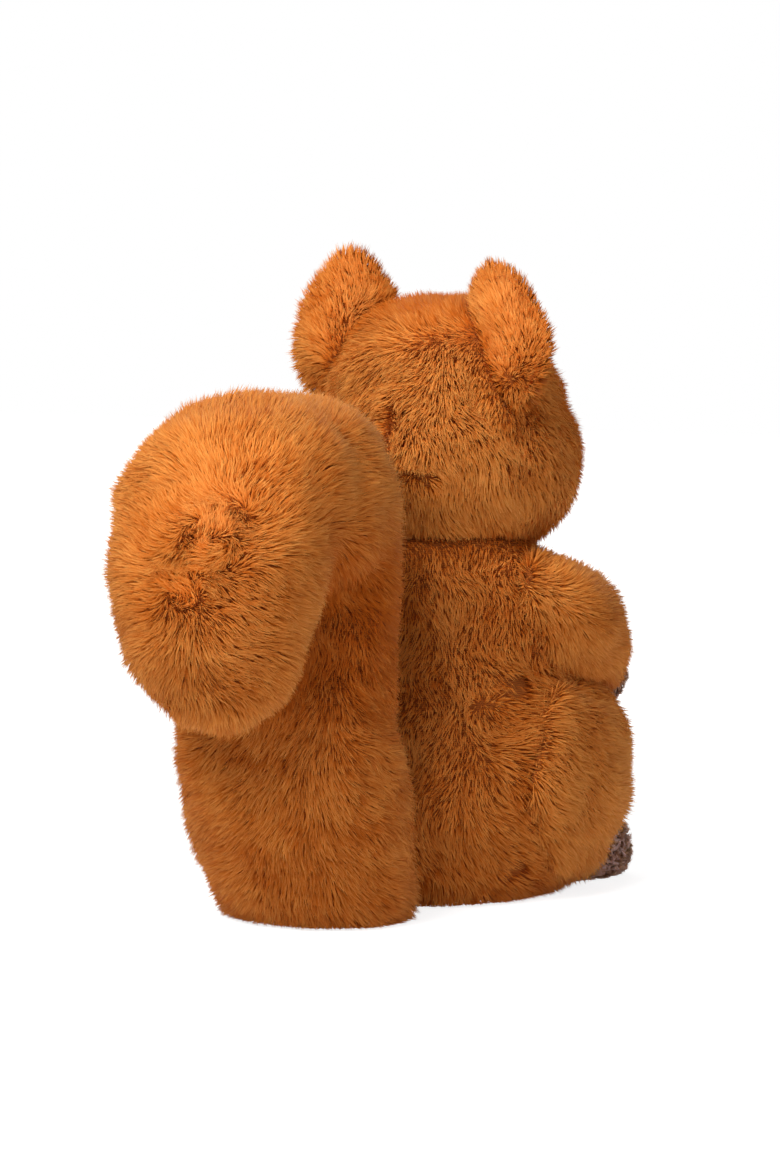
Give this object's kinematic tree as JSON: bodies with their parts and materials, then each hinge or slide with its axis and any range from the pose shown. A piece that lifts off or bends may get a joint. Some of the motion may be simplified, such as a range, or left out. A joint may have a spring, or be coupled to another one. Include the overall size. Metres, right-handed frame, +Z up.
{
  "type": "plush squirrel",
  "caption": "Sitting plush squirrel in rust fur with a thick curled tail, rounded ears and taupe fleece paws and feet.",
  "frame": {"origin": "a point in the middle of the body's flat seat, on the surface that it sits on", "axes": "+Z up; the squirrel faces -Y, its tail is at +Y, and its left side is at +X"},
  "size_m": [0.144, 0.2627, 0.2513],
  "materials": {
    "rust_fur": "short dense plush pile",
    "taupe_fleece": "curly fleece",
    "grey_lining": "short pile",
    "eye_plastic": "gloss",
    "nose_thread": "satin stitch"
  },
  "bodies": {
    "root": {"arm_left": "rust_fur", "arm_right": "rust_fur", "body": "rust_fur", "ear_left": "rust_fur", "ear_lining_left": "grey_lining", "ear_lining_right": "grey_lining", "ear_right": "rust_fur", "eye_left": "eye_plastic", "eye_right": "eye_plastic", "foot_left": "taupe_fleece", "foot_right": "taupe_fleece", "head": "rust_fur", "nose": "nose_thread", "paw_left": "taupe_fleece", "paw_right": "taupe_fleece", "tail": "rust_fur", "thigh_left": "rust_fur", "thigh_right": "rust_fur"}
  },
  "joints": []
}
